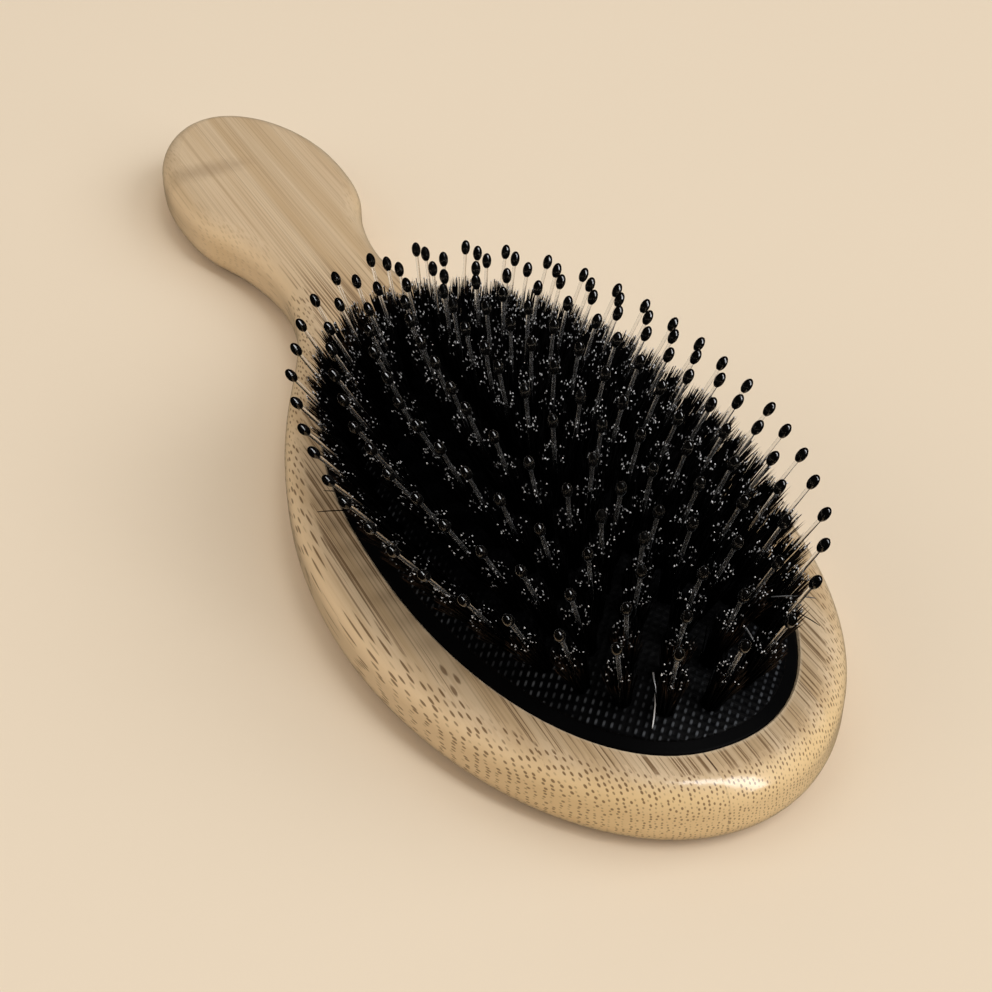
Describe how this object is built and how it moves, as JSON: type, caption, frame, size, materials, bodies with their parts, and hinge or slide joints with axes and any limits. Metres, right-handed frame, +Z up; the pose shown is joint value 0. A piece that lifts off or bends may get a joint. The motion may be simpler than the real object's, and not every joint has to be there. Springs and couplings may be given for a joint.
{
  "type": "cushion paddle hair brush",
  "caption": "Oval cushion hair brush: laminated bamboo board with flared handle, cloth-faced air cushion, flared bristle tufts and ball-tipped pins.",
  "frame": {"origin": "centre of the board's footprint on its flat back, which lies on the table", "axes": "+X along the handle towards the tip of the head, +Y to the side, +Z up, the way the bristles point"},
  "size_m": [0.2368, 0.0768, 0.0434],
  "materials": {
    "bamboo": "satin lacquer",
    "rubber": "satin",
    "cloth": "woven",
    "nylon": "clear, glossy",
    "ball": "glossy",
    "bristle": "natural hair sheen"
  },
  "bodies": {
    "board_and_cushion": {"bamboo_strip_1": "bamboo", "bamboo_strip_2": "bamboo", "bamboo_strip_3": "bamboo", "bamboo_strip_4": "bamboo", "rubber_cushion": "rubber", "fabric_facing": "cloth"},
    "tuft_zone_1": {"nylon_pins_zone_1": "nylon", "ball_tips_zone_1": "ball", "bristle_tufts_zone_1": "bristle"},
    "tuft_zone_2": {"nylon_pins_zone_2": "nylon", "ball_tips_zone_2": "ball", "bristle_tufts_zone_2": "bristle"},
    "tuft_zone_3": {"nylon_pins_zone_3": "nylon", "ball_tips_zone_3": "ball", "bristle_tufts_zone_3": "bristle"},
    "tuft_zone_4": {"nylon_pins_zone_4": "nylon", "ball_tips_zone_4": "ball", "bristle_tufts_zone_4": "bristle"},
    "tuft_zone_5": {"nylon_pins_zone_5": "nylon", "ball_tips_zone_5": "ball", "bristle_tufts_zone_5": "bristle"},
    "tuft_zone_6": {"nylon_pins_zone_6": "nylon", "ball_tips_zone_6": "ball", "bristle_tufts_zone_6": "bristle"}
  },
  "joints": [
    {"name": "zone_1_press", "type": "slide", "parent": "board_and_cushion", "child": "tuft_zone_1", "axis": [0, 0, -1], "range_m": [0, 0.005], "stiffness_N_per_m": 2500, "deforming": ["rubber_cushion", "fabric_facing"]},
    {"name": "zone_2_press", "type": "slide", "parent": "board_and_cushion", "child": "tuft_zone_2", "axis": [0, 0, -1], "range_m": [0, 0.00432]},
    {"name": "zone_3_press", "type": "slide", "parent": "board_and_cushion", "child": "tuft_zone_3", "axis": [0, 0, -1], "range_m": [0, 0.00364]},
    {"name": "zone_4_press", "type": "slide", "parent": "board_and_cushion", "child": "tuft_zone_4", "axis": [0, 0, -1], "range_m": [0, 0.00274]},
    {"name": "zone_5_press", "type": "slide", "parent": "board_and_cushion", "child": "tuft_zone_5", "axis": [0, 0, -1], "range_m": [0, 0.00202]},
    {"name": "zone_6_press", "type": "slide", "parent": "board_and_cushion", "child": "tuft_zone_6", "axis": [0, 0, -1], "range_m": [0, 0.00134]}
  ],
  "couplings": [
    {"joint": "zone_2_press", "follows": "zone_1_press", "ratio": 0.8545},
    {"joint": "zone_3_press", "follows": "zone_1_press", "ratio": 0.7171},
    {"joint": "zone_4_press", "follows": "zone_1_press", "ratio": 0.5373},
    {"joint": "zone_5_press", "follows": "zone_1_press", "ratio": 0.3946},
    {"joint": "zone_6_press", "follows": "zone_1_press", "ratio": 0.2571}
  ]
}
